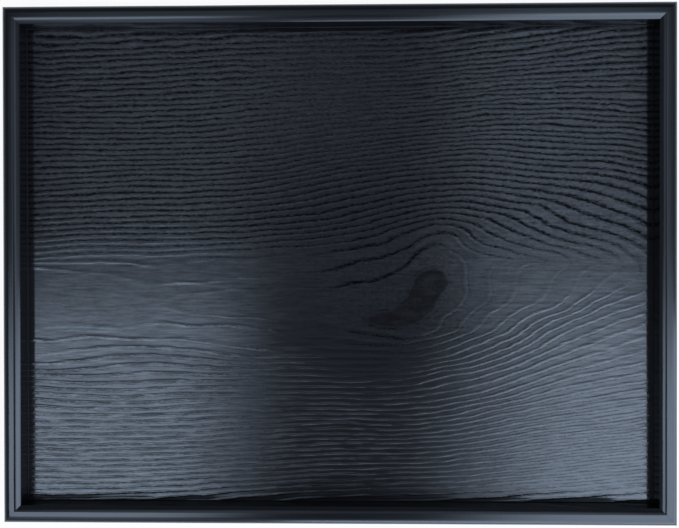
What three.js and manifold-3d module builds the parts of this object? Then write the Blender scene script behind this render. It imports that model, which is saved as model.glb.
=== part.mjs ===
// Rectangular wooden serving tray. Four moulded rails are mitred at the corners and
// held there by hidden loose tongues, round a veneered plywood floor panel whose edges
// sit in a groove of the rails.
//
// Millimetres, +Z up. The origin is the middle of the footprint, on the surface that the
// tray stands on. X runs along the long rails.

import * as THREE from 'three';
import { mergeVertices } from 'three/addons/utils/BufferGeometryUtils.js';
import Module from 'manifold-3d';

// Driving dimensions: the tray's outline
const TRAY_LENGTH = 350;
const TRAY_WIDTH = 270;

// Driving dimensions: the rail's moulded section
const RAIL_HEIGHT = 20;
const RAIL_THICKNESS = 9.5;
const OUTER_ROUND = 4.2; // radius over the outer top edge
const BEVEL_WIDTH = 3; // rounded slope from the flat top down to the inner edge
const BEVEL_DROP = 1.6;
const BEVEL_CROWN = 0.52; // how far the slope's control point stands above a straight slope
const INNER_ARRIS = 0.5; // radius where the slope turns into the inner wall
const FOOT_ROUND = 0.8; // radius of both bottom edges

// Driving dimensions: the floor panel's layers, from the table upwards
const PANEL_LIFT = 4; // rail below the panel groove
const BACK_VENEER = 0.6;
const CORE_PLY = 0.95;
const FACE_VENEER = 0.6;
const GLUE_LINE = 0.05; // between two layers

// Driving dimensions: how the panel sits in its groove
const GROOVE_DEPTH = 4;
const PANEL_SLIP = 0.1; // clearance above and below the panel
const PANEL_EDGE_GAP = 0.5; // room for the panel to swell

// Driving dimensions: the loose tongue across each mitre
const TONGUE_THICKNESS = 2;
const TONGUE_REACH = 4; // into each rail, square to the mitre
const TONGUE_HEIGHT = 6;
const TONGUE_SEAT = 1.2; // wood between the panel groove and the tongue's slot
const TONGUE_CLEARANCE = 0.2; // glue gap all round

const CURVE_SEGMENTS = 10;

// Sizes that follow from the driving dimensions
const PLY_NAMES = ['bottom', 'middle', 'top'];
const PANEL_LAYERS = [
  { name: 'panel_back_veneer', thickness: BACK_VENEER, finish: 'stainedVeneer' },
  ...PLY_NAMES.map((ply) => ({ name: `panel_core_ply_${ply}`, thickness: CORE_PLY, finish: 'plywood' })),
  { name: 'panel_face_veneer', thickness: FACE_VENEER, finish: 'stainedVeneer' },
];
const PANEL_THICKNESS = PANEL_LAYERS.reduce((sum, layer) => sum + layer.thickness, 0)
  + (PANEL_LAYERS.length - 1) * GLUE_LINE;
const GROOVE_BOTTOM = PANEL_LIFT;
const GROOVE_TOP = GROOVE_BOTTOM + PANEL_THICKNESS + 2 * PANEL_SLIP;
const PANEL_INSET = RAIL_THICKNESS - GROOVE_DEPTH + PANEL_EDGE_GAP;

// Finishes: black stain under satin lacquer outside, bare wood where pieces meet inside
const FINISHES = {
  stainedRail: new THREE.MeshStandardMaterial({ color: 0x16181b, roughness: 0.4, metalness: 0 }),
  stainedVeneer: new THREE.MeshStandardMaterial({ color: 0x1a1c20, roughness: 0.45, metalness: 0 }),
  plywood: new THREE.MeshStandardMaterial({ color: 0xb58f62, roughness: 0.8, metalness: 0 }),
  beech: new THREE.MeshStandardMaterial({ color: 0xc49a6c, roughness: 0.7, metalness: 0 }),
};

const wasm = await Module();
wasm.setup();

// A closed three.js geometry as a solid that can be cut.
function solidFrom(geometry) {
  const bare = new THREE.BufferGeometry();
  bare.setAttribute('position', geometry.getAttribute('position'));
  bare.setIndex(geometry.index);
  const merged = mergeVertices(bare, 1e-4);
  return new wasm.Manifold(new wasm.Mesh({
    numProp: 3,
    vertProperties: merged.attributes.position.array,
    triVerts: new Uint32Array(merged.index.array),
  }));
}

// A cut solid back as a three.js geometry.
function geometryFrom(solid) {
  const { vertProperties, triVerts } = solid.getMesh();
  const geometry = new THREE.BufferGeometry();
  geometry.setAttribute('position', new THREE.BufferAttribute(vertProperties, 3));
  geometry.setIndex(new THREE.BufferAttribute(triVerts, 1));
  geometry.computeVertexNormals();
  return geometry;
}

function namedMesh(name, geometry, finish) {
  const mesh = new THREE.Mesh(geometry, FINISHES[finish]);
  mesh.name = name;
  return mesh;
}

// The rail's section. The first coordinate runs in from the outer face, the second up from the table.
function railSection() {
  const inner = RAIL_THICKNESS;
  const top = RAIL_HEIGHT;
  const middleDrop = BEVEL_DROP / 2 - BEVEL_CROWN;
  const footTilt = Math.atan2(BEVEL_DROP - middleDrop, BEVEL_WIDTH / 2);
  const arrisSweep = Math.PI / 2 - footTilt;
  const bevelFoot = inner - INNER_ARRIS * (1 - Math.cos(arrisSweep));
  const bevelHead = bevelFoot - BEVEL_WIDTH;
  const wallTop = top - BEVEL_DROP - INNER_ARRIS * Math.sin(arrisSweep);
  const section = new THREE.Shape();
  section.moveTo(FOOT_ROUND, 0);
  section.lineTo(inner - FOOT_ROUND, 0);
  section.absarc(inner - FOOT_ROUND, FOOT_ROUND, FOOT_ROUND, -Math.PI / 2, 0, false);
  section.lineTo(inner, GROOVE_BOTTOM);
  section.lineTo(inner - GROOVE_DEPTH, GROOVE_BOTTOM);
  section.lineTo(inner - GROOVE_DEPTH, GROOVE_TOP);
  section.lineTo(inner, GROOVE_TOP);
  section.lineTo(inner, wallTop);
  section.absarc(inner - INNER_ARRIS, wallTop, INNER_ARRIS, 0, arrisSweep, false);
  section.quadraticCurveTo((bevelFoot + bevelHead) / 2, top - middleDrop, bevelHead, top);
  section.lineTo(OUTER_ROUND, top);
  section.absarc(OUTER_ROUND, top - OUTER_ROUND, OUTER_ROUND, Math.PI / 2, Math.PI, false);
  section.lineTo(0, FOOT_ROUND);
  section.absarc(FOOT_ROUND, FOOT_ROUND, FOOT_ROUND, Math.PI, 1.5 * Math.PI, false);
  return section;
}

// A rail along X with its outer face at Y 0 and its inside towards +Y, mitred at both ends:
// each end point slides in along the rail by its own distance from the outer face.
function mitredRail(length) {
  const rail = new THREE.ExtrudeGeometry(railSection(), {
    depth: length, steps: 1, bevelEnabled: false, curveSegments: CURVE_SEGMENTS,
  });
  const point = rail.getAttribute('position');
  for (let i = 0; i < point.count; i += 1) {
    const inward = point.getX(i);
    const height = point.getY(i);
    const atStart = point.getZ(i) < length / 2;
    const along = atStart ? inward - length / 2 : length / 2 - inward;
    point.setXYZ(i, along, inward, height);
  }
  return rail;
}

// The tongue, or the slot that takes it with clearance all round, across the mitre at the
// start of a rail whose outer corner is the origin. X and Y run in along the two rails.
function tongueBlock(clearance) {
  const middle = RAIL_THICKNESS / 2;
  const slotFloor = GROOVE_TOP + TONGUE_SEAT;
  const block = new THREE.BoxGeometry(
    2 * (TONGUE_REACH + clearance),
    TONGUE_THICKNESS + 2 * clearance,
    TONGUE_HEIGHT + 2 * clearance,
  );
  block.rotateZ(-Math.PI / 4);
  block.translate(middle, middle, slotFloor + TONGUE_CLEARANCE + TONGUE_HEIGHT / 2);
  return block;
}

// A mitred rail with half a tongue slot cut into each end.
function slottedRail(length) {
  const nearSlot = tongueBlock(TONGUE_CLEARANCE);
  const farSlot = nearSlot.clone().rotateZ(Math.PI / 2);
  const rail = solidFrom(mitredRail(length))
    .subtract(solidFrom(nearSlot.translate(-length / 2, 0, 0)))
    .subtract(solidFrom(farSlot.translate(length / 2, 0, 0)));
  return geometryFrom(rail);
}

const tray = new THREE.Group();

// Rails, anticlockwise from the front, and the tongue at the corner where each rail starts
const SIDES = [
  { rail: 'rail_front', corner: 'front_left', length: TRAY_LENGTH, outward: TRAY_WIDTH / 2 },
  { rail: 'rail_right', corner: 'front_right', length: TRAY_WIDTH, outward: TRAY_LENGTH / 2 },
  { rail: 'rail_back', corner: 'back_right', length: TRAY_LENGTH, outward: TRAY_WIDTH / 2 },
  { rail: 'rail_left', corner: 'back_left', length: TRAY_WIDTH, outward: TRAY_LENGTH / 2 },
];
SIDES.forEach(({ rail, corner, length, outward }, quarter) => {
  const side = new THREE.Group();
  side.rotation.z = quarter * (Math.PI / 2);
  const railMesh = namedMesh(rail, slottedRail(length), 'stainedRail');
  railMesh.position.y = -outward;
  const tongueMesh = namedMesh(`mitre_tongue_${corner}`, tongueBlock(0), 'beech');
  tongueMesh.position.set(-length / 2, -outward, 0);
  side.add(railMesh, tongueMesh);
  tray.add(side);
});

// Floor panel, layer on layer, with its edges in the rails' groove
let layerFoot = GROOVE_BOTTOM + PANEL_SLIP;
PANEL_LAYERS.forEach(({ name, thickness, finish }) => {
  const sheet = new THREE.BoxGeometry(
    TRAY_LENGTH - 2 * PANEL_INSET,
    TRAY_WIDTH - 2 * PANEL_INSET,
    thickness,
  );
  const layer = namedMesh(name, sheet, finish);
  layer.position.z = layerFoot + thickness / 2;
  tray.add(layer);
  layerFoot += thickness + GLUE_LINE;
});

export default tray;
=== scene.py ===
"""Looks of a black-stained wooden serving tray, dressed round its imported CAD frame.

Lengths in this file are millimetres and become metres where a mesh or a lamp is made.
X runs along the long rails, Y towards the back rail and Z up. The photographed view looks
straight down into the tray, with the back rail at the top of the picture.
"""
import math

import bmesh
import bpy
import numpy as np
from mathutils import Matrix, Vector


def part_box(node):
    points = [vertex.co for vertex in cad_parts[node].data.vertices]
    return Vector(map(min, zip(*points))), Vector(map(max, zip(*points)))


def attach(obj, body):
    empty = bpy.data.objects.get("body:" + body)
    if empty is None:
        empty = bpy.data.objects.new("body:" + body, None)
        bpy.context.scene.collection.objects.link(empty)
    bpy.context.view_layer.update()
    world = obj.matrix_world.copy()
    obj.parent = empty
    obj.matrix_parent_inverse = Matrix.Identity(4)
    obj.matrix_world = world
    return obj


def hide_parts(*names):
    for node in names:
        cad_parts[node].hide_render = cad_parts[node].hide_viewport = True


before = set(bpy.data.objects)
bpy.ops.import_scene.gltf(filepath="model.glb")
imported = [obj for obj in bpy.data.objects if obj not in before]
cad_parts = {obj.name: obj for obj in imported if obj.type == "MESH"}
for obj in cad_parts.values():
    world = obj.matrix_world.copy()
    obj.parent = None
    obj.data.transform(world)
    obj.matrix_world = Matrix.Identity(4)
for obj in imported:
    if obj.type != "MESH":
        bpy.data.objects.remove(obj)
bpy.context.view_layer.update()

MM = 0.001

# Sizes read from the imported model
RAIL_LOW, RAIL_HIGH = (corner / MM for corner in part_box("rail_front"))
FACE_LOW, FACE_HIGH = (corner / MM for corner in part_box("panel_face_veneer"))
BACK_LOW, BACK_HIGH = (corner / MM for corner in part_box("panel_back_veneer"))
TONGUE_LOW, TONGUE_HIGH = (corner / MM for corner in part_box("mitre_tongue_front_left"))
TRAY_LENGTH = RAIL_HIGH.x - RAIL_LOW.x
TRAY_WIDTH = -2 * RAIL_LOW.y
RAIL_HEIGHT = RAIL_HIGH.z
RAIL_THICKNESS = RAIL_HIGH.y - RAIL_LOW.y

# The rail's moulded section, as the CAD source has it
OUTER_ROUND = 4.2
BEVEL_WIDTH = 3.0
BEVEL_DROP = 1.6
BEVEL_CROWN = 0.52
INNER_ARRIS = 0.5
FOOT_ROUND = 0.8
GROOVE_DEPTH = 4
PANEL_SLIP = 0.1
GROOVE_BOTTOM = BACK_LOW.z - PANEL_SLIP
GROOVE_TOP = FACE_HIGH.z + PANEL_SLIP
TONGUE = (8.0, 2.0, 6.0)  # across the mitre, along it, and up
TONGUE_CLEARANCE = 0.2

# How finely the rail is made
ARC_STEPS = 14
FLAT_STEPS = 4
GROOVE_STEPS = 2
WALL_STEPS = 8
STATION_SPACING = 5.0  # between two sections along a rail
WELD = 0.002  # closer than this, two points are one
RAIL_CREASE = 28  # degrees

# The rail's finish in shape: sanded mitre edges and lacquer that isn't quite even
MITRE_GAP = 0.01
MITRE_EASE = 0.04
LACQUER_WAVE = 0.06
WAVE_LENGTH = 38
WAVE_GIRTH = 7
WAVED_FROM = GROOVE_TOP + 1
WAVED_FULLY = RAIL_HEIGHT - 4
RAILS_APART = 40  # in the noise, so that no two rails have the same waves
WAVE_SEED = 5

# The bead of lacquer gathered between the wall and the panel. Its root is in shares of its size.
BEAD_SIZE = 0.35
BEAD_UNEVEN = 0.35
BEAD_WAVE = 9
BEAD_ROOT = (0.06, 0.24)  # into the wall and into the panel
BEAD_STEPS = 5
BEAD_SPACING = 3
BEAD_CREASE = 40  # degrees
BEADS_APART = 60
BEAD_SEED = 8

# Growth rings of the face veneer: a ring's number, and points on the line where it ends.
# The numbers grow outwards from the knot's heart.
RING_LINES = (
    (-0.7, ((50, -9), (46, -14), (41, -21), (35, -27.5), (27, -29))),
    (0, ((58, -7), (55, -15), (52, -20.5), (46, -28), (38, -32), (28, -32.5), (17, -31), (22, -26),
         (30, -24), (37, -17), (40, -11), (42, -6), (46, -3.5), (56.5, -4))),
    (1, ((-97, -21), (-85, -14.5), (-60, -12.3), (-30, -10.8), (10, -10.3), (22, -8.5), (30, -5),
         (37, -1), (41, 4), (46, 7.8), (52, 9.3), (58, 8.5), (64, 5), (68, 0), (68.5, -10), (68, -18),
         (63, -24), (56, -29), (52, -35), (45, -37.8), (33, -38.8), (20, -36.5), (0, -33.3),
         (-30, -31), (-60, -28.5), (-85, -26.3))),
    (1.4, ((-166, -18), (-145, -18.5), (-122, -20))),
    (2, ((-166, -1), (-130, -3), (-110, -6), (-95, -8.7), (-75, -8.6), (-50, -5.7), (-20, -4.5), (0, -3),
         (15, 1.5), (30, 5), (38, 9), (44, 13), (50, 15.2), (57, 15.7), (63, 14), (70, 8), (80, 4.8),
         (92, 2), (84, -1.5), (81, -5), (81.5, -12), (79, -20), (72, -25), (67, -30), (63, -35.5),
         (55, -38), (43, -40.8), (30, -42.5), (12, -41.5), (-12, -40), (-35, -36.2), (-60, -33),
         (-95, -32.2), (-120, -35.3), (-166, -35.5))),
    (3, ((-166, 1.5), (-110, 2), (-70, 3.5), (-30, 4.8), (0, 6.5), (20, 9.8), (32, 14), (43, 18),
         (50, 19.8), (57, 20.4), (63, 19.5), (70, 14.5), (80, 9.5), (95, 5.5), (110, 2), (99, -1.5),
         (95.5, -7), (94, -17), (88, -22.5), (80, -27.3), (75, -33), (66, -38), (50, -43.5),
         (35, -46.3), (0, -45.8), (-35, -46.5), (-60, -44), (-95, -40.5), (-130, -39.5), (-166, -41))),
    (5, ((-166, 7.2), (-110, 9.2), (-70, 10), (-30, 12), (0, 14.8), (15, 17.5), (30, 21.8), (42, 24.8),
         (55, 26.6), (70, 25.3), (80, 22.8), (95, 16), (110, 10.5), (128, 5.5), (138, 2), (130, -5),
         (125, -14), (116, -22.5), (104, -26.3), (96, -31.5), (90, -36.5), (80, -40.8), (60, -48.5),
         (45, -52), (12, -53.3), (-30, -52.5), (-70, -51), (-102, -49), (-118, -49.5), (-135, -52),
         (-166, -53.5))),
    (8, ((-166, 16.5), (-110, 19), (-70, 19.2), (-30, 21.2), (0, 24.5), (30, 31.5), (55, 35.2),
         (70, 35.6), (90, 32.5), (107, 29.8), (112, 26.5), (120, 22), (140, 16.8), (158, 9), (166, -13),
         (140, -23.2), (125, -30), (110, -37.2), (80, -51.5), (55, -57), (30, -62), (0, -62.8),
         (-70, -62.5), (-110, -63.5), (-166, -62.2))),
    (12, ((-166, 28.9), (-110, 31), (-30, 35.5), (0, 41), (30, 45.5), (55, 47.8), (80, 48), (110, 44.5),
          (140, 41.5), (163, 34))),
    (12, ((166, -38), (140, -46.8), (110, -56), (80, -67), (55, -72), (30, -74.5), (0, -74.5),
          (-70, -75.5), (-166, -75.8))),
    (16, ((-166, 41.5), (-110, 44.2), (-30, 47.5), (0, 53), (30, 56.2), (55, 59.2), (80, 60.3),
          (110, 57.5), (140, 56.5), (163, 53))),
    (16, ((166, -62), (140, -65.8), (110, -72), (80, -78.5), (55, -83.5), (30, -85.5), (0, -84.8),
          (-70, -89.5), (-166, -91))),
    (20, ((-166, 54), (-110, 54.8), (-70, 55.8), (-30, 58.5), (0, 62.5), (55, 68.2), (80, 70), (163, 66))),
    (20, ((166, -77), (140, -81.5), (110, -85), (55, -94), (0, -95.8), (-70, -100), (-166, -102))),
    (24, ((-166, 67), (0, 74.5), (80, 81), (166, 79))),
    (28, ((166, -105), (110, -111), (0, -117.5), (-100, -125), (-166, -127))),
    (36, ((-166, 100), (-83, 103), (0, 106), (30, 106.3), (90, 112), (160, 119.5))),
)
ALONG_GRAIN = 0.45  # the rings change more slowly along the grain than across it
RING_SLACK = 2.0  # how far the rings may ease away from the points
WIDEST_RING = 15.0
USUAL_RING = 3.0

# The rings' small unevenness. A waver has a size, a length along the grain and one across it, and a seed.
FACE_WAVERS = ((0.40, 17, 5, 11), (0.28, 7, 2, 12))
FAR_WAVER = (0.6, 11, 3.2, 13)
FAR_SIDE = (56, 84)  # across the grain, where the far waver sets in
BACK_RING = 3.4  # width of the back veneer's straight rings
BACK_SLANT = 0.012
BACK_WAVER = (1.6, 70, 30, 21)
BACK_FINE_WAVER = (0.1, 14, 4, 22)  # in rings
BACK_FIRST_RING = 40

# Where the face veneer's wood is coarse, wide-ringed or closed
COARSE_SIDE = (-8.0, 24.0)  # across the grain, where the pores go from fine to coarse
COARSE_KNOT = ((27.0, -10.0), (36.0, 32.0))  # middle and reach of the coarse wood round the knot
COARSE_KNOT_FULL = 1.7  # over 1, so that the patch is fully coarse well off its middle
WIDE_RINGS = (3.6, 7.0)  # ring widths between which the relief and the pores fade
CLOSED_PATCH = ((-5.0, 90.0), (42.0, 55.0))  # middle and reach of a patch with fewer open pores
CLOSED_SHARE = 0.55
WIDE_CLOSED_SHARE = 0.85
HEART_RIM = 0.3  # ring number up to which the heart's closed wood reaches
KNOT_LEVEL = -18.0  # the knot's place across the grain
FIBRE_BY_RING = 2.2  # how fast the grain marks change from ring to ring
FIBRE_BY_LEVEL = 0.5  # and with each millimetre away from the knot's level
FIBRE_EASE = 4.0

# The veneers' relief
GRID_ACROSS = 0.5  # between two rows, across the grain
GRID_ALONG = 2.4  # between two columns, along the grain
GRID_KNOT = 1.2  # between two columns at the knot
KNOT_REACH = (25.0, 115.0)
BACK_GRID_ACROSS = 0.7
BACK_GRID_ALONG = 4.8
VENEER_CREASE = 50  # degrees
RELIEF_DEPTH = 0.05
RELIEF_FALL = 1.0  # from a ring's dense crest down into the next ring's pores
RELIEF_RISE = (0.3, 2.2)  # least and most, from the open wood up to that crest
RISE_SHARE = 0.9  # of the ring's width, less a share of the fall
RISE_LESS_FALL = 0.4
RELIEF_STRENGTH = 0.8
RELIEF_LIMITS = (0.15, 1.4)
RELIEF_BY_RING = 0.3
RING_STEP = 1.7  # from ring to ring in the noise that sets them apart
RING_STRETCH = 90
RING_SEED = 31
RELIEF_WAVER = (0.4, 9, 2.4, 32)
WIDE_RELIEF_LOST = 0.75

# The sharper crest at each ring's end. It is too narrow for the grid, so the material raises it.
CREST_HEIGHT = 0.105
COARSE_CREST_HEIGHT = 0.3 * CREST_HEIGHT
COARSE_CREST = 0.25  # the coarseness at which the crest is down to that height
CREST_FALL = 0.7
CREST_RISE = 1.1
CREST_SPREAD = 0.18  # how much broader it gets with each millimetre of the ring's width
CALM_SHARE = (0.85, 0.72)  # how much the crests lose in wide rings, before the knot and after it
CALM_RINGS = (4.5, 8.0)  # ring widths between which they lose it
CALM_END = (0.0, 40.0)  # along the grain, where the wood before the knot ends
CREST_LOST = 0.3  # after the knot, in rings of any width

# The face veneer's finish. A noise has a scale, a detail and a roughness. A pair for fine and coarse wood
# gives the number in each. Shine is the shader's specular level.
MARKS_PER_MM = 0.14
WANDER_NOISE = (2.2, 5.0, 0.75)
WANDER_SIZE = 0.5
CREST_NOISE = (0.6, 3.0, 0.6)
CREST_UNEVEN = (0.3, 0.7, 0.4, 1.4)
RAG_NOISE = (3.4, 5.0, 0.8)
RAG_SIZE = (1.2, 3.8)  # in fine and coarse wood
DASH_NOISE = (2.2, 4.0, 0.75)
DASH_RAMP = (0.38, 0.56)
LEAST_DASH = (0.0, 0.4)  # in fine and coarse wood
PORE_BAND = (0.35, 1.0)  # from a ring's start to where its pores start and end to thin out
BAND_GROWTH = 0.55  # how much broader a coarse band is, for each millimetre of its ring's width
BAND_BROADEST = 2.5
FINE_NOISE = (3.0, 3.0, 0.65)
FINE_RAMP = (0.45, 0.59)
FINE_SIZE = (0.3, 1.0)  # in fine and coarse wood
FINE_SHINE = -0.12
USUAL_SHINE = 0.62
STREAK_STRETCH = (0.05, 0.5, 1)
STREAK_NOISE = (1.6, 4.0, 0.7)
STREAK_SHINE = (0.45, 1.25)  # in narrow and wide rings
SPECK_STRETCH = (4.0, 4.0, 0.85)
SPECK_NOISE = (1.0, 2.0, 0.6)
SPECK_SHINE = (0.16, 0.96)  # in fine and coarse wood
PORE_SHINE = (-0.26, -0.68)  # in fine and coarse wood
HEART_STRETCH = (0.5, 1, 1)
HEART_NOISE = (0.16, 4.0, 0.65)
HEART_SHARE = (0.35, 0.65, 0.18, 0.58)  # the noise's range, and the share of shine that the heart keeps
HEART_EDGE = (-0.14, 0.14)  # ring numbers at the edge of the dark heart
LEAST_SHINE = 0.03
CLOUD_NOISE = (0.02, 3.0)
FACE_ROUGHNESS = (0.08, 0.12)
PORE_ROUGHNESS = 0.16

# The back veneer's finish. Stretches of this and the next two finishes are to the metre.
BACK_STRETCH = (60, 1900, 60)
BACK_NOISE = (1.0, 3.0, 0.6)
BACK_DASH_RAMP = (0.40, 0.62)
BACK_PORE_BAND = (0.15, 1.25)
BACK_PORE_DEPTH = -0.05
BACK_ROUGHNESS = (0.52, 0.67)

# The bead's finish
RUN_NOISE = (90.0, 3.0)
RUN_HEIGHT = 0.05
RUN_ROUGHNESS = (0.35, 0.55)

# Bare wood inside the panel and the mitres: how close the fibres lie across the grain and along it
PLY_ACROSS = 900
PLY_ALONG = 25
BEECH_ACROSS = 700
BEECH_ALONG = 60
FIBRE_NOISE = (1.0, 4.0, 0.6)
FIBRE_HEIGHT = 0.03
BARE_ROUGHNESS = (0.6, 0.8)

# The rails' finish
RAIL_STREAKS_PER_MM = 0.03
RAIL_STREAK_NOISE = (1.1, 4.0, 0.6)
RAIL_STREAK_HEIGHT = 0.022
RAIL_SPECK_NOISE = (7.0, 2.0)
RAIL_SPECK_HEIGHT = 0.003
RAIL_ROUGHNESS = (0.11, 0.21)
RAILS_APART_IN_GRAIN = 10.0
RAIL_SHINE = 0.5
WALL_SHINE = 0.12
WALL_END = (33.2, 34.8)  # where the wall's dull finish ends, round the section from its bottom outer edge

# Colours, linear, and how strongly a finish bends light
# The pores' black is partly their own deeper stain and partly painted shade in the pore hollows.
PORE_STAIN_AND_SHADE = (0.0012, 0.0013, 0.0017, 1)
LACQUERED_BLACK = (0.0030, 0.0033, 0.0042, 1)
WORN_BLACK = (0.0062, 0.0054, 0.0058, 1)
MATT_BLACK = (0.0130, 0.0135, 0.0150, 1)
DULL_BLACK = (0.0190, 0.0190, 0.0200, 1)
PLY_PALE = (0.52, 0.33, 0.17, 1)
PLY_DARK = (0.34, 0.19, 0.085, 1)
BEECH_PALE = (0.60, 0.38, 0.20, 1)
BEECH_DARK = (0.44, 0.25, 0.115, 1)
FLOOR_PALE = (0.86, 0.86, 0.86, 1)
WHITE = (1, 1, 1, 1)
LACQUER_IOR = 1.5
BARE_IOR = 1.45

# The photographed view: the picture's size in pixels, and the camera that took it
PICTURE_WIDTH = 679
FOCAL_PIXELS = 834.5
SENSOR_WIDTH = 36.0
CAMERA_PLACE = (10.47, 2.64, 449.9)
CAMERA_TURN = (-0.316, 1.238, -0.084)  # degrees
NEAREST_SEEN = 10.0

# The ceiling lamp. It is dim behind, and bright in front on both sides of a dark middle. Each ramp gives the
# places where a change starts and where it is full, and levels are radiances.
CEILING_HEIGHT = 1000.0
CEILING_X = (-760.0, 1150.0)
CEILING_Y = (-1700.0, 650.0)
FRONT_RAMP = (42.0, -300.0)  # along Y, from the back's light to the front's
LEFT_RAMP = (-80.0, -295.0)  # along X, from the middle to the left
LEFT_SLANT = -0.14  # how far the left ramp leans outwards towards the front
RIGHT_RAMP = (90.0, 425.0)  # along X, from the middle to the right
RIGHT_MOVED = ((-230.0, 10.0), 48.0)  # along Y, and how far the right ramp has moved out at the end
BACK_RIGHT_RAMP = (90.0, 290.0)
FRONT_LEVELS = {"middle": 0.0, "left": 3.8, "right": 4.1}
BACK_LEVELS = {"middle": 0.37, "left": 0.36, "right": 0.75}
BACK_GAP_DIMMED = ((240.0, 60.0), 0.17)  # along Y, and what the back's middle has lost at the end
BACK_DIMMED = (((-515.0, -565.0), 0.15), ((475.0, 535.0), 0.27))  # along X, and the share that is left
FAR_BACK_DIMMED = ((370.0, 425.0), 0.58)  # along Y, and the share that is left
FAR_LEFT_DIMMED = ((-430.0, -740.0), 0.18)
FAR_RIGHT_DIMMED = ((-500.0, -900.0), 0.75)
FAR_MIDDLE_LIT = ((-560.0, -860.0), 0.25)  # along Y, and the level that is added

# The other lamps
STANDING_BOXES = {
    "soft_box_front": {"centre": (515.0, -1250.0, 375.0), "wide": 1270.0, "high": 750.0, "facing": 0.0},
    "soft_box_side": {"centre": (1150.0, -675.0, 500.0), "wide": 1150.0, "high": 1000.0, "facing": 90.0},
}
STANDING_RADIANCE = 3.0
LAMP_COLOUR = (0.80, 1.0, 1.29)

# The room and the floor
ROOM_COLOUR = (0.82, 1.0, 1.28, 1)
ROOM_ZENITH = 0.07
ROOM_HORIZON = 0.38
ROOM_RISE = (0.15, 0.95)  # how far up the light goes from the horizon's to the zenith's
ROOM_LEAN = (0.15, -0.5)  # brighter towards +X and -Y
ROOM_LEAST = 0.08
FLOOR_REACH = 6000.0
FLOOR_GLOW = {"seen": 0.92, "mirrored": 0.3}  # share of plain white in what is seen and mirrored of it


def smooth_step(low, high, value):
    """0 below low, 1 above high, and an even curve between them."""
    part = np.clip((value - low) / (high - low), 0, 1)
    return part * part * (3 - 2 * part)


def even_noise(across, along, seed):
    """Soft noise from -1 to 1 over a plane, with one bump to each unit of its two numbers."""
    size = 512
    lattice = np.random.default_rng(seed).uniform(-1, 1, (size, size))
    column = np.floor(across).astype(int)
    row = np.floor(along).astype(int)
    right = smooth_step(0, 1, across - column)
    up = smooth_step(0, 1, along - row)
    column, next_column = column % size, (column + 1) % size
    row, next_row = row % size, (row + 1) % size
    low = lattice[column, row] * (1 - right) + lattice[next_column, row] * right
    high = lattice[column, next_row] * (1 - right) + lattice[next_column, next_row] * right
    return low * (1 - up) + high * up


def waver(x, y, size, length, width, seed):
    """Unevenness of one size over the panel."""
    return size * even_noise(x / length, y / width, seed)


def new_piece(name, points, faces):
    """A mesh object from points in millimetres."""
    mesh = bpy.data.meshes.new(name)
    mesh.from_pydata(np.asarray(points) * MM, [], faces)
    mesh.validate()
    piece = bpy.data.objects.new(name, mesh)
    bpy.context.scene.collection.objects.link(piece)
    return piece


def store(piece, name, values):
    """Keeps one number for each point of a piece, for its material to read."""
    layer = piece.data.attributes.new(name, "FLOAT", "POINT")
    layer.data.foreach_set("value", np.ascontiguousarray(values, dtype=np.float32).ravel())


def shade(piece, crease):
    """Smooth shading, with a crease where two faces meet at more than that many degrees."""
    piece.data.shade_smooth()
    piece.data.set_sharp_from_angle(angle=math.radians(crease))


def dress(piece, material, slot, *nodes):
    """Gives a piece its material and its place in the frame."""
    piece.data.materials.append(material)
    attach(piece, "root")
    if nodes:
        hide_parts(*nodes)


# Nodes of a material

def add(tree, kind, values=None, **settings):
    """A new node with its settings, and with a number, colour or link on each named input."""
    made = tree.nodes.new(kind)
    for setting, value in settings.items():
        setattr(made, setting, value)
    for key, value in (values or {}).items():
        if isinstance(value, bpy.types.NodeSocket):
            tree.links.new(value, made.inputs[key])
        else:
            made.inputs[key].default_value = value
    return made


def calculate(tree, operation, first, second=0.0, third=0.0):
    return add(tree, "ShaderNodeMath", {0: first, 1: second, 2: third}, operation=operation).outputs[0]


def product(tree, first, *others):
    """Several numbers multiplied."""
    for other in others:
        first = calculate(tree, "MULTIPLY", first, other)
    return first


def graded(tree, share, none, full):
    """A number that goes straight from one value to another as a share goes from 0 to 1."""
    return calculate(tree, "MULTIPLY_ADD", share, full - none, none)


def ramp_between(tree, value, low, high, start=0.0, end=1.0):
    """A number eased from start to end while a value goes from low to high."""
    values = {"Value": value, "From Min": low, "From Max": high, "To Min": start, "To Max": end}
    return add(tree, "ShaderNodeMapRange", values, interpolation_type="SMOOTHSTEP").outputs["Result"]


def stored(tree, name):
    return add(tree, "ShaderNodeAttribute", attribute_name=name).outputs["Fac"]


def object_place(tree):
    """The place on a piece, in metres."""
    return add(tree, "ShaderNodeTexCoord").outputs["Object"]


def stretched(tree, place, factors):
    """A place stretched along each axis, for a noise to read."""
    return add(tree, "ShaderNodeVectorMath", {0: place, 1: factors}, operation="MULTIPLY").outputs[0]


def in_millimetres(tree, place):
    return stretched(tree, place, (1 / MM, 1 / MM, 1 / MM))


def split_axes(tree, place):
    """The X, Y and Z of a place."""
    return add(tree, "ShaderNodeSeparateXYZ", {0: place}).outputs


def joined_axes(tree, x, y, z):
    return add(tree, "ShaderNodeCombineXYZ", {0: x, 1: y, 2: z}).outputs[0]


def noise(tree, place, scale, detail=2.0, roughness=0.5):
    values = {"Vector": place, "Scale": scale, "Detail": detail, "Roughness": roughness}
    return add(tree, "ShaderNodeTexNoise", values, noise_dimensions="3D").outputs["Fac"]


def swing(tree, place, *settings):
    """Noise to both sides of zero."""
    return calculate(tree, "SUBTRACT", noise(tree, place, *settings), 0.5)


def mixed_colour(tree, factor, first, second):
    """One colour blended into another."""
    made = add(tree, "ShaderNodeMix", data_type="RGBA")
    tree.links.new(factor, made.inputs["Factor"])
    for socket, colour in zip([s for s in made.inputs if s.type == "RGBA"], (first, second)):
        socket.default_value = colour
    return next(s for s in made.outputs if s.type == "RGBA")


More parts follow.
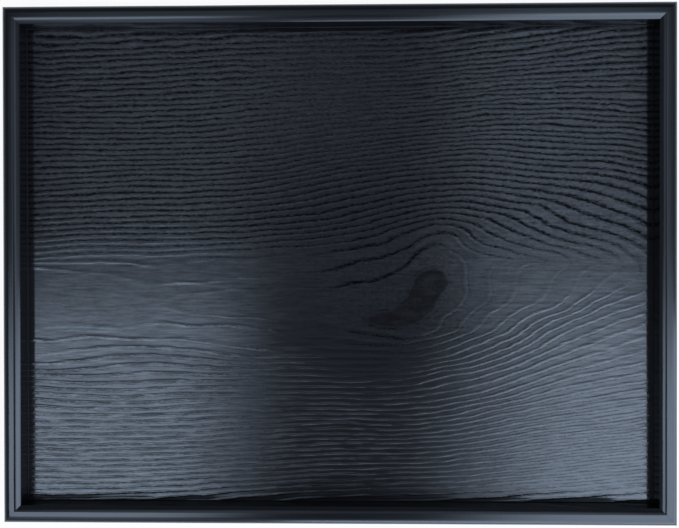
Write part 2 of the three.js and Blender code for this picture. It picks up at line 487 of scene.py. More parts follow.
def new_material(name, ior):
    """An empty wood material: its tree and its shader."""
    material = bpy.data.materials.new(name)
    material.use_nodes = True
    shader = material.node_tree.nodes["Principled BSDF"]
    shader.inputs["IOR"].default_value = ior
    return material, material.node_tree, shader


def raise_surface(tree, shader, height):
    """Bump from a height in millimetres."""
    bump = add(tree, "ShaderNodeBump", {"Strength": 1.0, "Distance": MM, "Height": height})
    tree.links.new(bump.outputs["Normal"], shader.inputs["Normal"])


# The face veneer's material

def face_grain(tree, place_mm):
    """What the veneer's points say of its grain, and the place that its marks are drawn by."""
    names = ("ring", "ring_width", "fibre", "coarseness", "openness", "crispness")
    grain = {name: stored(tree, name) for name in names}
    axes = split_axes(tree, place_mm)
    along = product(tree, axes["X"], MARKS_PER_MM)
    across = product(tree, axes["Y"], MARKS_PER_MM)
    grain["marks"] = joined_axes(tree, along, across, grain["fibre"])
    return grain


def ring_part(tree, grain, sway):
    """How much of its ring lies before a place, when the ring's lines sway by so many millimetres."""
    swayed = calculate(tree, "DIVIDE", sway, grain["ring_width"])
    return calculate(tree, "FRACT", calculate(tree, "ADD", grain["ring"], swayed))


def crest_height(tree, grain):
    """The height of the crest at each ring's end: lower in coarse wood."""
    width = grain["ring_width"]
    wander = product(tree, swing(tree, grain["marks"], *WANDER_NOISE), WANDER_SIZE)
    part_left = calculate(tree, "SUBTRACT", 1.0, ring_part(tree, grain, wander))
    broad = calculate(tree, "MULTIPLY_ADD", width, CREST_SPREAD, 1.0 - CREST_SPREAD * USUAL_RING)
    to_end = calculate(tree, "DIVIDE", product(tree, part_left, width), broad)
    rise = ramp_between(tree, to_end, CREST_FALL + CREST_RISE, CREST_FALL)
    fall = ramp_between(tree, to_end, 0.0, CREST_FALL)
    uneven = ramp_between(tree, noise(tree, grain["marks"], *CREST_NOISE), *CREST_UNEVEN)
    height = ramp_between(tree, grain["coarseness"], 0.0, COARSE_CREST, CREST_HEIGHT, COARSE_CREST_HEIGHT)
    return product(tree, rise, fall, uneven, grain["crispness"], height)


def ring_pores(tree, grain):
    """From 0 on closed wood to 1 in the broken band of pores at each ring's start."""
    coarse = grain["coarseness"]
    rag = product(tree, swing(tree, grain["marks"], *RAG_NOISE), graded(tree, coarse, *RAG_SIZE))
    from_start = product(tree, ring_part(tree, grain, rag), grain["ring_width"])
    growth = product(tree, grain["ring_width"], BAND_GROWTH)
    more = calculate(tree, "SUBTRACT", calculate(tree, "MINIMUM", growth, BAND_BROADEST), 1.0)
    broader = calculate(tree, "MULTIPLY_ADD", coarse, more, 1.0)
    band = ramp_between(tree, calculate(tree, "DIVIDE", from_start, broader), *PORE_BAND, 1.0, 0.0)
    least = graded(tree, coarse, *LEAST_DASH)
    dashes = ramp_between(tree, noise(tree, grain["marks"], *DASH_NOISE), *DASH_RAMP, least, 1.0)
    return product(tree, band, dashes, grain["openness"])


def fine_pores(tree, grain):
    """Small pores between the bands, with none at the knot's heart."""
    pores = ramp_between(tree, noise(tree, grain["marks"], *FINE_NOISE), *FINE_RAMP)
    size = graded(tree, grain["coarseness"], *FINE_SIZE)
    return product(tree, pores, size, ramp_between(tree, grain["ring"], 0.0, HEART_RIM))


def face_shine(tree, grain, pores, place_mm):
    """How much the lacquer shines: streaked and specked, less in the pores, least at the knot's heart."""
    coarse = grain["coarseness"]
    streaks = swing(tree, stretched(tree, place_mm, STREAK_STRETCH), *STREAK_NOISE)
    streak_size = ramp_between(tree, grain["ring_width"], *WIDE_RINGS, *STREAK_SHINE)
    shine = calculate(tree, "MULTIPLY_ADD", streaks, streak_size, USUAL_SHINE)
    specks = swing(tree, stretched(tree, grain["marks"], SPECK_STRETCH), *SPECK_NOISE)
    shine = calculate(tree, "MULTIPLY_ADD", specks, graded(tree, coarse, *SPECK_SHINE), shine)
    shine = calculate(tree, "MULTIPLY_ADD", fine_pores(tree, grain), FINE_SHINE, shine)
    # Less shine in the pores: painted shade in their hollows.
    shine = calculate(tree, "MULTIPLY_ADD", pores, graded(tree, coarse, *PORE_SHINE), shine)
    mottled = noise(tree, stretched(tree, place_mm, HEART_STRETCH), *HEART_NOISE)
    heart = ramp_between(tree, mottled, *HEART_SHARE)
    shine = product(tree, shine, ramp_between(tree, grain["ring"], *HEART_EDGE, heart, 1.0))
    return calculate(tree, "MAXIMUM", shine, LEAST_SHINE)


def face_veneer_material():
    """Black-stained open-grained veneer under thin lacquer: a ring ends in a crest and starts with pores."""
    material, tree, shader = new_material("stained_face_veneer", LACQUER_IOR)
    place_mm = in_millimetres(tree, object_place(tree))
    grain = face_grain(tree, place_mm)
    pores = ring_pores(tree, grain)
    raise_surface(tree, shader, crest_height(tree, grain))
    tree.links.new(face_shine(tree, grain, pores, place_mm), shader.inputs["Specular IOR Level"])
    clouded = graded(tree, noise(tree, place_mm, *CLOUD_NOISE), *FACE_ROUGHNESS)
    dulled = calculate(tree, "MULTIPLY_ADD", pores, PORE_ROUGHNESS, clouded)
    tree.links.new(dulled, shader.inputs["Roughness"])
    # The pores get a darker colour: partly their own stain, partly painted shade in their hollows.
    tree.links.new(mixed_colour(tree, pores, WORN_BLACK, PORE_STAIN_AND_SHADE), shader.inputs["Base Color"])
    return material


# The other materials

def back_veneer_material():
    """Black-stained straight-grained veneer, left matt."""
    material, tree, shader = new_material("stained_back_veneer", BARE_IOR)
    fibres = noise(tree, stretched(tree, object_place(tree), BACK_STRETCH), *BACK_NOISE)
    dashes = ramp_between(tree, fibres, *BACK_DASH_RAMP)
    from_start = product(tree, calculate(tree, "FRACT", stored(tree, "ring")), stored(tree, "ring_width"))
    pores = product(tree, ramp_between(tree, from_start, *BACK_PORE_BAND, 1.0, 0.0), dashes)
    raise_surface(tree, shader, product(tree, pores, BACK_PORE_DEPTH))
    tree.links.new(graded(tree, pores, *BACK_ROUGHNESS), shader.inputs["Roughness"])
    tree.links.new(mixed_colour(tree, dashes, MATT_BLACK, DULL_BLACK), shader.inputs["Base Color"])
    return material


def rail_material():
    """Black-stained rail under satin lacquer, with fine streaks along its length and a dull inner wall."""
    material, tree, shader = new_material("stained_rail", LACQUER_IOR)
    girth = stored(tree, "girth")
    along = product(tree, stored(tree, "along"), RAIL_STREAKS_PER_MM)
    grain = joined_axes(tree, along, girth, stored(tree, "stick"))
    streaks = noise(tree, grain, *RAIL_STREAK_NOISE)
    specks = product(tree, noise(tree, grain, *RAIL_SPECK_NOISE), RAIL_SPECK_HEIGHT)
    raise_surface(tree, shader, calculate(tree, "MULTIPLY_ADD", streaks, RAIL_STREAK_HEIGHT, specks))
    shine = ramp_between(tree, girth, *WALL_END, WALL_SHINE, RAIL_SHINE)
    tree.links.new(shine, shader.inputs["Specular IOR Level"])
    tree.links.new(graded(tree, streaks, *RAIL_ROUGHNESS), shader.inputs["Roughness"])
    tree.links.new(mixed_colour(tree, streaks, LACQUERED_BLACK, WORN_BLACK), shader.inputs["Base Color"])
    return material


def lacquer_material():
    """Black lacquer that has run into the corner between the wall and the panel."""
    material, tree, shader = new_material("gathered_lacquer", LACQUER_IOR)
    shader.inputs["Specular IOR Level"].default_value = WALL_SHINE
    runs = noise(tree, object_place(tree), *RUN_NOISE)
    raise_surface(tree, shader, product(tree, runs, RUN_HEIGHT))
    tree.links.new(graded(tree, runs, *RUN_ROUGHNESS), shader.inputs["Roughness"])
    tree.links.new(mixed_colour(tree, runs, LACQUERED_BLACK, WORN_BLACK), shader.inputs["Base Color"])
    return material


def bare_wood_material(name, pale, dark, stretch):
    """Unfinished wood whose fibres run along the axis with the smallest stretch."""
    material, tree, shader = new_material(name, BARE_IOR)
    fibres = noise(tree, stretched(tree, object_place(tree), stretch), *FIBRE_NOISE)
    raise_surface(tree, shader, product(tree, fibres, FIBRE_HEIGHT))
    tree.links.new(graded(tree, fibres, *BARE_ROUGHNESS), shader.inputs["Roughness"])
    tree.links.new(mixed_colour(tree, fibres, pale, dark), shader.inputs["Base Color"])
    return material


# The four rails

def straight(start, end, steps):
    """Points of a straight line, its end left out."""
    return [tuple(point) for point in np.linspace(start, end, steps + 1)[:-1]]


def arc(centre, radius, start, end):
    """Points of an arc between two angles in degrees, its end left out."""
    angles = np.radians(np.linspace(start, end, ARC_STEPS + 1)[:-1])
    return [(centre[0] + radius * math.cos(a), centre[1] + radius * math.sin(a)) for a in angles]


def bowed(start, control, end):
    """Points of a quadratic curve, its end left out."""
    parts = np.linspace(0, 1, ARC_STEPS + 1)[:-1]
    points = np.outer((1 - parts) ** 2, start) + np.outer(2 * parts * (1 - parts), control)
    return [tuple(point) for point in points + np.outer(parts ** 2, end)]


def rail_section():
    """The rail's outline: how far in from the outer face, and how high."""
    inner, top = RAIL_THICKNESS, RAIL_HEIGHT
    middle_drop = BEVEL_DROP / 2 - BEVEL_CROWN
    arris_sweep = 90 - math.degrees(math.atan2(BEVEL_DROP - middle_drop, BEVEL_WIDTH / 2))
    bevel_foot = inner - INNER_ARRIS * (1 - math.cos(math.radians(arris_sweep)))
    bevel_head = bevel_foot - BEVEL_WIDTH
    bevel_control = ((bevel_foot + bevel_head) / 2, top - middle_drop)
    wall_top = top - BEVEL_DROP - INNER_ARRIS * math.sin(math.radians(arris_sweep))
    groove = inner - GROOVE_DEPTH
    outline = straight((FOOT_ROUND, 0), (inner - FOOT_ROUND, 0), FLAT_STEPS)
    outline += arc((inner - FOOT_ROUND, FOOT_ROUND), FOOT_ROUND, -90, 0)
    outline += straight((inner, FOOT_ROUND), (inner, GROOVE_BOTTOM), 1)
    outline += straight((inner, GROOVE_BOTTOM), (groove, GROOVE_BOTTOM), GROOVE_STEPS)
    outline += straight((groove, GROOVE_BOTTOM), (groove, GROOVE_TOP), GROOVE_STEPS)
    outline += straight((groove, GROOVE_TOP), (inner, GROOVE_TOP), GROOVE_STEPS)
    outline += straight((inner, GROOVE_TOP), (inner, wall_top), WALL_STEPS)
    outline += arc((inner - INNER_ARRIS, wall_top), INNER_ARRIS, 0, arris_sweep)
    outline += bowed((bevel_foot, top - BEVEL_DROP), bevel_control, (bevel_head, top))
    outline += straight((bevel_head, top), (OUTER_ROUND, top), FLAT_STEPS)
    outline += arc((OUTER_ROUND, top - OUTER_ROUND), OUTER_ROUND, 90, 180)
    outline += straight((0, top - OUTER_ROUND), (0, FOOT_ROUND), WALL_STEPS)
    outline += arc((FOOT_ROUND, FOOT_ROUND), FOOT_ROUND, 180, 270)
    return np.array(outline)


def outward_of(outline):
    """The outward direction at each point of an anticlockwise outline."""
    chord = np.roll(outline, -1, axis=0) - np.roll(outline, 1, axis=0)
    chord /= np.linalg.norm(chord, axis=1, keepdims=True)
    return np.column_stack([chord[:, 1], -chord[:, 0]])


def stations(length):
    """Where a rail's sections are, from -1 at one mitre to 1 at the other."""
    eased = 1 - 2 * MITRE_EASE / length
    between = np.linspace(-eased, eased, round(length / STATION_SPACING) + 1)
    return np.concatenate([[-1], between, [1]])


def tongue_slots(length):
    """Blocks that stand where the mitre's hidden tongues need room, in the rail's own frame."""
    middle_height = (TONGUE_LOW.z + TONGUE_HIGH.z) / 2
    middle = RAIL_THICKNESS / 2
    across, along, up = np.array(TONGUE) / 2 + TONGUE_CLEARANCE
    corners = [(x, y, z) for x in (-across, across) for y in (-along, along) for z in (-up, up)]
    faces = [(0, 1, 3, 2), (4, 6, 7, 5), (0, 4, 5, 1), (2, 3, 7, 6), (0, 2, 6, 4), (1, 5, 7, 3)]
    blocks = []
    for end in (-1, 1):
        turn = math.radians(45) * end
        placed = [(end * (length / 2 - middle) + x * math.cos(turn) - y * math.sin(turn),
                   middle + x * math.sin(turn) + y * math.cos(turn),
                   middle_height + z) for x, y, z in corners]
        blocks.append(new_piece("tongue_slot", placed, faces))
    return blocks


def without_slivers(mesh):
    """Cuts a mesh's many-cornered faces into triangles and dissolves slivers, which would leave it open."""
    cleaned = bmesh.new()
    cleaned.from_mesh(mesh)
    many_cornered = [face for face in cleaned.faces if len(face.verts) > 4]
    bmesh.ops.triangulate(cleaned, faces=many_cornered)
    bmesh.ops.dissolve_degenerate(cleaned, edges=cleaned.edges, dist=WELD * MM)
    cleaned.to_mesh(mesh)
    cleaned.free()
    return mesh


def cut_away(piece, blocks):
    """Takes the blocks' room out of a piece and deletes them."""
    for block in blocks:
        modifier = piece.modifiers.new("slot", "BOOLEAN")
        modifier.operation = "DIFFERENCE"
        modifier.object = block
    graph = bpy.context.evaluated_depsgraph_get()
    mesh = bpy.data.meshes.new_from_object(piece.evaluated_get(graph))
    piece.modifiers.clear()
    piece.data = without_slivers(mesh)
    for block in blocks:
        bpy.data.objects.remove(block)


def make_rail(name, length, outward, quarter):
    """One mitred rail, made along X with its outer face towards -Y and then turned to its side."""
    outline = rail_section()
    normal = outward_of(outline)
    count = len(outline)
    girth = np.concatenate([[0], np.cumsum(np.linalg.norm(np.diff(outline, axis=0), axis=1))])
    places = stations(length)
    moulded = smooth_step(WAVED_FROM, WAVED_FULLY, outline[:, 1])
    points, lengthwise = [], []
    for place in places:
        eased = MITRE_EASE if abs(place) == 1 else 0
        along = place * (length / 2 - outline[:, 0] - MITRE_GAP)
        wave = even_noise(along / WAVE_LENGTH + RAILS_APART * quarter, girth / WAVE_GIRTH, WAVE_SEED)
        sunk = LACQUER_WAVE * (wave * 0.5 + 0.5) * moulded + eased
        section = outline - normal * sunk[:, None]
        points += list(zip(along, section[:, 0], section[:, 1]))
        lengthwise.append(along)
    faces = []
    for i in range(len(places) - 1):
        for j in range(count):
            k = (j + 1) % count
            faces.append((i * count + j, i * count + k, (i + 1) * count + k, (i + 1) * count + j))
    last = (len(places) - 1) * count
    faces.append(tuple(range(count))[::-1])
    faces.append(tuple(range(last, last + count)))
    piece = new_piece(name, points, faces)
    store(piece, "along", np.concatenate(lengthwise))
    store(piece, "girth", np.tile(girth, len(places)))
    store(piece, "stick", np.full(len(points), RAILS_APART_IN_GRAIN * quarter))
    cut_away(piece, tongue_slots(length))
    shade(piece, RAIL_CREASE)
    turn = quarter * math.pi / 2
    piece.rotation_euler.z = turn
    piece.location = (outward * math.sin(turn) * MM, -outward * math.cos(turn) * MM, 0)
    return piece


def make_rails(material):
    """The rails, anticlockwise from the front."""
    sides = (("front", TRAY_LENGTH, TRAY_WIDTH / 2), ("right", TRAY_WIDTH, TRAY_LENGTH / 2),
             ("back", TRAY_LENGTH, TRAY_WIDTH / 2), ("left", TRAY_WIDTH, TRAY_LENGTH / 2))
    for quarter, (side, length, outward) in enumerate(sides):
        rail = make_rail(f"lacquered_rail_{side}", length, outward, quarter)
        dress(rail, material, "stained_rail", f"rail_{side}")


# The lacquer gathered round the panel, against the walls

def bead_section():
    """The bead's hollow outline, in shares of its size: how far from the wall, and how high on the panel."""
    into_wall, into_panel = BEAD_ROOT
    angles = np.radians(np.linspace(270, 180, BEAD_STEPS + 1))
    hollow = [(1 + math.cos(a), 1 + math.sin(a)) for a in angles]
    return np.array([(-into_wall, -into_panel), (1.0, -into_panel)] + hollow + [(-into_wall, 1.0)])


def make_bead(material):
    """A thin hollow bead all round the foot of the inner walls."""
    half = (TRAY_LENGTH / 2 - RAIL_THICKNESS, TRAY_WIDTH / 2 - RAIL_THICKNESS)
    outline = bead_section()
    count = len(outline)
    points = []
    for quarter in range(4):
        reach, stand_off = half[quarter % 2], half[(quarter + 1) % 2]
        turn = quarter * math.pi / 2
        for place in np.linspace(-1, 1, round(2 * reach / BEAD_SPACING) + 1)[:-1]:
            spot = np.array(place * reach / BEAD_WAVE + BEADS_APART * quarter)
            size = BEAD_SIZE * (1 + BEAD_UNEVEN * even_noise(spot, np.array(0.5), BEAD_SEED))
            inward = outline[:, 0] * size
            along = place * (reach - inward)
            away = inward - stand_off
            points += list(zip(along * math.cos(turn) - away * math.sin(turn),
                               along * math.sin(turn) + away * math.cos(turn),
                               FACE_HIGH.z + outline[:, 1] * size))
    rings = len(points) // count
    faces = []
    for i in range(rings):
        for j in range(count):
            k, n = (j + 1) % count, (i + 1) % rings
            faces.append((i * count + j, i * count + k, n * count + k, n * count + j))
    bead = new_piece("lacquer_bead", points, faces)
    shade(bead, BEAD_CREASE)
    dress(bead, material, "stained_rail")


# The floor panel

def thin_plate(distance_squared):
    return distance_squared * np.log(distance_squared + 1e-9)


def face_rings(x, y):
    """Ring numbers of the face veneer: the smoothest sheet through the drawn ring lines."""
    points = np.array([point for ring, line in RING_LINES for point in line], float)
    rings = np.array([ring for ring, line in RING_LINES for point in line], float)
    places = points * (ALONG_GRAIN, 1.0)
    count = len(places)
    apart = places[:, None, :] - places[None, :, :]
    system = np.zeros((count + 3, count + 3))
    system[:count, :count] = thin_plate((apart ** 2).sum(axis=2)) + np.eye(count) * RING_SLACK
    system[:count, count:] = np.column_stack([np.ones(count), places])
    system[count:, :count] = system[:count, count:].T
    weights = np.linalg.solve(system, np.concatenate([rings, np.zeros(3)]))
    along = x * ALONG_GRAIN
    sheet = weights[count] + weights[count + 1] * along + weights[count + 2] * y
    for (place_x, place_y), weight in zip(places, weights):
        sheet += weight * thin_plate((along - place_x) ** 2 + (y - place_y) ** 2)
    return sheet


def ring_widths(rings, xs, ys):
    """How wide a ring is at each place, in millimetres."""
    slope_x, slope_y = np.gradient(rings, xs, ys)
    return np.minimum(1 / (np.hypot(slope_x, slope_y) + 1e-6), WIDEST_RING)


def face_figure(xs, ys):
    """The face veneer's ring numbers with the wood's small unevenness."""
    x, y = np.meshgrid(xs, ys, indexing="ij")
    rings = face_rings(x, y)
    uneven = sum(waver(x, y, *settings) for settings in FACE_WAVERS)
    uneven = uneven + smooth_step(*FAR_SIDE, y) * waver(x, y, *FAR_WAVER)
    return rings + uneven / ring_widths(rings, xs, ys)


def back_figure(x, y):
    """The back veneer's straight rings."""
    level = y + BACK_SLANT * x + waver(x, y, *BACK_WAVER)
    return BACK_FIRST_RING + level / BACK_RING + waver(x, y, *BACK_FINE_WAVER)


def patch(x, y, middle, reach):
    """1 at the middle of a soft patch of the panel, falling to a third at its reach and on to nothing."""
    return np.exp(-((x - middle[0]) / reach[0]) ** 2 - ((y - middle[1]) / reach[1]) ** 2)


def coarseness(x, y):
    """From 0 where the pores are fine to 1 where they are coarse: towards the back, and round the knot."""
    knot = np.minimum(COARSE_KNOT_FULL * patch(x, y, *COARSE_KNOT), 1)
    return np.maximum(smooth_step(*COARSE_SIDE, y), knot)


def grain_depth(rings, widths, coarse, x, y):
    """How far the open grain lies below the dense wood: less in wide rings of fine wood."""
    part = rings - np.floor(rings)
    to_end = (1 - part) * widths
    rise = np.clip(RISE_SHARE * widths - RISE_LESS_FALL * RELIEF_FALL, *RELIEF_RISE)
    crest = 1 - np.clip((to_end - RELIEF_FALL) / rise, 0, 1)
    dense = crest * smooth_step(0, RELIEF_FALL, to_end)
    by_ring = even_noise(np.floor(rings) * RING_STEP + 0.5, x / RING_STRETCH, RING_SEED)
    strength = RELIEF_STRENGTH + RELIEF_BY_RING * by_ring + waver(x, y, *RELIEF_WAVER)
    faded = WIDE_RELIEF_LOST * smooth_step(*WIDE_RINGS, widths) * (1 - coarse)
    return RELIEF_DEPTH * np.clip(strength, *RELIEF_LIMITS) * (1 - faded) * (1 - dense)


def crest_crispness(rings, widths, x):
    """How high the crests stand: less in wide rings and after the knot, and not at all at its heart."""
    after_knot = smooth_step(*CALM_END, x)
    calm = CALM_SHARE[0] + (CALM_SHARE[1] - CALM_SHARE[0]) * after_knot
    calmed = 1 - calm * smooth_step(*CALM_RINGS, widths)
    return (1 - CREST_LOST * after_knot) * calmed * smooth_step(0, HEART_RIM, rings)


def pore_openness(rings, widths, coarse, x, y):
    """How open the pores are: less so in wide rings of fine wood, and not at all at the knot's heart."""
    faded = WIDE_CLOSED_SHARE * smooth_step(*WIDE_RINGS, widths) * (1 - coarse)
    closed = CLOSED_SHARE * patch(x, y, *CLOSED_PATCH)
    return (1 - faded) * (1 - closed) * smooth_step(0, HEART_RIM, rings)


def grid_lines(low, high, spacing):
    return np.linspace(low, high, round((high - low) / spacing) + 1)


def make_slab(name, xs, ys, depth, face, back):
    """A thin closed sheet with relief on its face; its face may look up or down."""
    columns, rows = len(xs), len(ys)
    x, y = np.meshgrid(xs, ys, indexing="ij")
    facing = 1 if face > back else -1
    points = np.column_stack([x.ravel(), y.ravel(), (face - facing * depth).ravel()])
    front_edge = columns * rows + np.arange(columns)
    rear_edge = front_edge + columns
    edges = [np.column_stack([xs, np.full(columns, ys[end]), np.full(columns, back)]) for end in (0, -1)]
    points = np.vstack([points, *edges])
    index = np.arange(columns * rows).reshape(columns, rows)
    corners = [index[:-1, :-1], index[1:, :-1], index[1:, 1:], index[:-1, 1:]]
    faces = np.stack(corners, axis=-1).reshape(-1, 4).tolist()
    for i in range(columns - 1):
        faces.append([rear_edge[i], rear_edge[i + 1], front_edge[i + 1], front_edge[i]])
        faces.append([front_edge[i], front_edge[i + 1], index[i + 1, 0], index[i, 0]])
        faces.append([index[i, -1], index[i + 1, -1], rear_edge[i + 1], rear_edge[i]])
    faces.append([*index[0, :], rear_edge[0], front_edge[0]])
    faces.append([front_edge[-1], rear_edge[-1], *index[-1, ::-1]])
    if facing < 0:
        faces = [face_points[::-1] for face_points in faces]
    piece = new_piece(name, points, faces)
    shade(piece, VENEER_CREASE)
    return piece


def store_grain(piece, *layers):
    """Keeps the grain's numbers on a slab's face; its other points get zeros."""
    for name, values in layers:
        spare = np.zeros(len(piece.data.vertices) - values.size)
        store(piece, name, np.concatenate([values.ravel(), spare]))


def make_face_veneer(material):
    """The veneer that shows, with closer columns at the knot."""
    knot_from, knot_to = KNOT_REACH
    xs = np.unique(np.concatenate([grid_lines(FACE_LOW.x, knot_from, GRID_ALONG),
                                   grid_lines(knot_from, knot_to, GRID_KNOT),
                                   grid_lines(knot_to, FACE_HIGH.x, GRID_ALONG)]))
    ys = grid_lines(FACE_LOW.y, FACE_HIGH.y, GRID_ACROSS)
    x, y = np.meshgrid(xs, ys, indexing="ij")
    rings = face_figure(xs, ys)
    widths = ring_widths(rings, xs, ys)
    coarse = coarseness(x, y)
    depth = grain_depth(rings, widths, coarse, x, y)
    veneer = make_slab("grained_face_veneer", xs, ys, depth, FACE_HIGH.z, FACE_LOW.z)
    fibre = FIBRE_BY_RING * face_rings(x, y) + FIBRE_BY_LEVEL * np.hypot(y - KNOT_LEVEL, FIBRE_EASE)
    store_grain(veneer, ("ring", rings), ("ring_width", widths), ("fibre", fibre), ("coarseness", coarse),
                ("openness", pore_openness(rings, widths, coarse, x, y)),
                ("crispness", crest_crispness(rings, widths, x)))
    dress(veneer, material, "stained_face_veneer", "panel_face_veneer")


def make_back_veneer(material):
    """The veneer underneath, whose face looks down."""
    xs = grid_lines(BACK_LOW.x, BACK_HIGH.x, BACK_GRID_ALONG)
    ys = grid_lines(BACK_LOW.y, BACK_HIGH.y, BACK_GRID_ACROSS)
    x, y = np.meshgrid(xs, ys, indexing="ij")
    rings = back_figure(x, y)
    widths = ring_widths(rings, xs, ys)
    depth = grain_depth(rings, widths, 0.0, x, y)
    veneer = make_slab("grained_back_veneer", xs, ys, depth, BACK_LOW.z, BACK_HIGH.z)
    store_grain(veneer, ("ring", rings), ("ring_width", widths))
    dress(veneer, material, "stained_back_veneer", "panel_back_veneer")


def dress_hidden_nodes():
    """The plies and tongues keep their CAD shape and get bare wood."""
    lengthwise = bare_wood_material("bare_ply_lengthwise", PLY_PALE, PLY_DARK,
                                    (PLY_ALONG, PLY_ACROSS, PLY_ACROSS))
    crosswise = bare_wood_material("bare_ply_crosswise", PLY_PALE, PLY_DARK,
                                   (PLY_ACROSS, PLY_ALONG, PLY_ACROSS))
    beech = bare_wood_material("bare_beech", BEECH_PALE, BEECH_DARK,
                               (BEECH_ACROSS, BEECH_ACROSS, BEECH_ALONG))
    materials = {"panel_core_ply_bottom": crosswise, "panel_core_ply_middle": lengthwise,
                 "panel_core_ply_top": crosswise}
    for name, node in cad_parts.items():
        if name.startswith("mitre_tongue"):
            materials[name] = beech
        if name in materials:
            node.data.materials.clear()
            node.data.materials.append(materials[name])


# The room

def floor_material():
    """Pale paint that looks white to the camera and still takes a shadow."""
    material = bpy.data.materials.new("pale_floor")
    material.use_nodes = True
    tree = material.node_tree
    tree.nodes.clear()
    rays = add(tree, "ShaderNodeLightPath").outputs
    seen = product(tree, rays["Is Camera Ray"], FLOOR_GLOW["seen"])
    mirrored = calculate(tree, "MAXIMUM", rays["Is Glossy Ray"], rays["Is Transmission Ray"])
    share = calculate(tree, "MAXIMUM", seen, product(tree, mirrored, FLOOR_GLOW["mirrored"]))
    glow = add(tree, "ShaderNodeEmission", {"Color": WHITE, "Strength": 1.0}).outputs[0]
    paint = add(tree, "ShaderNodeBsdfDiffuse", {"Color": FLOOR_PALE}).outputs[0]
    blend = add(tree, "ShaderNodeMixShader", {0: share, 1: paint, 2: glow}).outputs[0]
    add(tree, "ShaderNodeOutputMaterial", {"Surface": blend})
    return material


def make_floor(material):
    reach = FLOOR_REACH
    corners = [(-reach, -reach, 0), (reach, -reach, 0), (reach, reach, 0), (-reach, reach, 0)]
    floor = new_piece("floor", corners, [(0, 1, 2, 3)])
    floor.data.materials.append(material)


def new_lamp(name, wide, high, radiance):
    """A flat lamp that shines straight down, and gives one radiance all over."""
    light = bpy.data.lights.new(name, "AREA")
    light.shape = "RECTANGLE"
    light.size = wide * MM
    light.size_y = high * MM
    light.energy = radiance * math.pi * light.size * light.size_y
    light.color = LAMP_COLOUR
    lamp = bpy.data.objects.new(name, light)
    bpy.context.scene.collection.objects.link(lamp)
    return lamp


def side_levels(tree, left, right, levels):
    """A level that grows from the middle towards the left and the right."""
    middle_and_left = calculate(tree, "MULTIPLY_ADD", left, levels["left"], levels["middle"])
    return calculate(tree, "MULTIPLY_ADD", right, levels["right"], middle_and_left)


def dimmed(tree, light, place, ramp, least):
    """A light that falls to a share of itself along a ramp."""
    return product(tree, light, ramp_between(tree, place, *ramp, 1.0, least))


def back_light(tree, x, y, left):
    """The ceiling's dim light behind, with less of it in its middle and far out."""
    right = ramp_between(tree, x, *BACK_RIGHT_RAMP)
    ramp, loss = BACK_GAP_DIMMED
    gap = calculate(tree, "SUBTRACT", 1.0, calculate(tree, "MAXIMUM", left, right))
    lost = product(tree, gap, ramp_between(tree, y, *ramp, 0.0, loss))
    light = calculate(tree, "SUBTRACT", side_levels(tree, left, right, BACK_LEVELS), lost)
    for ramp, least in BACK_DIMMED:
        light = dimmed(tree, light, x, ramp, least)
    return dimmed(tree, light, y, *FAR_BACK_DIMMED)


def front_light(tree, x, y, left):
    """The ceiling's bright light in front, left and right of its dark middle."""
    ramp, most = RIGHT_MOVED
    moved = calculate(tree, "SUBTRACT", x, ramp_between(tree, y, *ramp, 0.0, most))
    right = dimmed(tree, ramp_between(tree, moved, *RIGHT_RAMP), y, *FAR_RIGHT_DIMMED)
    left = dimmed(tree, left, y, *FAR_LEFT_DIMMED)
    ramp, most = FAR_MIDDLE_LIT
    lit = ramp_between(tree, y, *ramp, 0.0, most)
    return calculate(tree, "ADD", side_levels(tree, left, right, FRONT_LEVELS), lit)


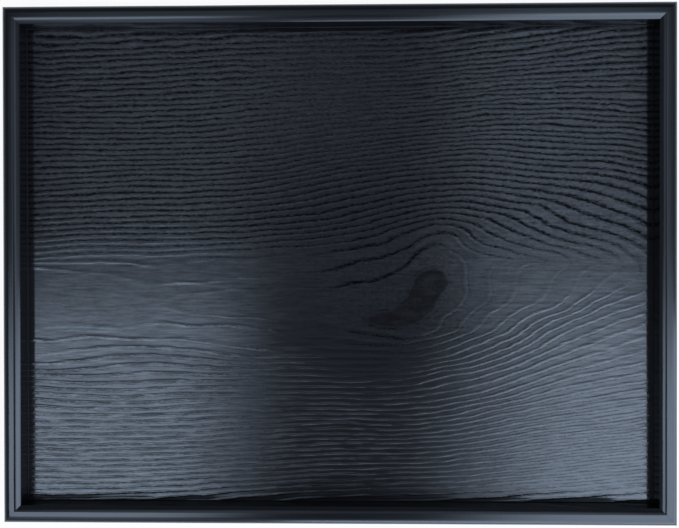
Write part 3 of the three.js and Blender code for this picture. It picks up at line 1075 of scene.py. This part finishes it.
def make_ceiling():
    """The large lamp overhead, with its light spread by ramps along X and Y."""
    lamp = new_lamp("ceiling", CEILING_X[1] - CEILING_X[0], CEILING_Y[1] - CEILING_Y[0], 1.0)
    lamp.location = (sum(CEILING_X) / 2 * MM, sum(CEILING_Y) / 2 * MM, CEILING_HEIGHT * MM)
    lamp.data.use_nodes = True
    tree = lamp.data.node_tree
    place = in_millimetres(tree, add(tree, "ShaderNodeNewGeometry").outputs["Position"])
    axes = split_axes(tree, place)
    x, y = axes["X"], axes["Y"]
    left = ramp_between(tree, calculate(tree, "MULTIPLY_ADD", y, LEFT_SLANT, x), *LEFT_RAMP)
    back = back_light(tree, x, y, left)
    front = front_light(tree, x, y, left)
    more = product(tree, ramp_between(tree, y, *FRONT_RAMP), calculate(tree, "SUBTRACT", front, back))
    tree.links.new(calculate(tree, "ADD", back, more), tree.nodes["Emission"].inputs["Strength"])


def make_standing_lamp(name, centre, wide, high, facing):
    """A soft box that stands upright; facing turns it anticlockwise from shining towards +Y."""
    lamp = new_lamp(name, wide, high, STANDING_RADIANCE)
    lamp.location = [value * MM for value in centre]
    lamp.rotation_euler = (math.pi / 2, 0, math.radians(facing))


def make_room():
    """Soft light from all round: dim overhead, paler low down, and brighter to the right and in front."""
    world = bpy.data.worlds.new("room")
    bpy.context.scene.world = world
    world.use_nodes = True
    tree = world.node_tree
    tree.nodes.clear()
    axes = split_axes(tree, add(tree, "ShaderNodeTexCoord").outputs["Generated"])
    level = ramp_between(tree, axes["Z"], *ROOM_RISE, ROOM_HORIZON, ROOM_ZENITH)
    lean = calculate(tree, "MULTIPLY_ADD", axes["X"], ROOM_LEAN[0], 1.0)
    lean = calculate(tree, "MULTIPLY_ADD", axes["Y"], ROOM_LEAN[1], lean)
    strength = product(tree, level, calculate(tree, "MAXIMUM", lean, ROOM_LEAST))
    background = add(tree, "ShaderNodeBackground", {"Color": ROOM_COLOUR, "Strength": strength})
    add(tree, "ShaderNodeOutputWorld", {"Surface": background.outputs[0]})


def make_camera():
    view = bpy.data.cameras.new("camera")
    view.sensor_fit = "HORIZONTAL"
    view.sensor_width = SENSOR_WIDTH
    view.lens = FOCAL_PIXELS * SENSOR_WIDTH / PICTURE_WIDTH
    view.clip_start = NEAREST_SEEN * MM
    camera = bpy.data.objects.new("camera", view)
    camera.location = [value * MM for value in CAMERA_PLACE]
    camera.rotation_euler = [math.radians(angle) for angle in CAMERA_TURN]
    bpy.context.scene.collection.objects.link(camera)
    bpy.context.scene.camera = camera


make_camera()
make_floor(floor_material())
make_room()
make_ceiling()
for box_name, box in STANDING_BOXES.items():
    make_standing_lamp(box_name, **box)
make_rails(rail_material())
make_bead(lacquer_material())
make_face_veneer(face_veneer_material())
make_back_veneer(back_veneer_material())
dress_hidden_nodes()

bpy.context.scene.view_settings.view_transform = "Standard"
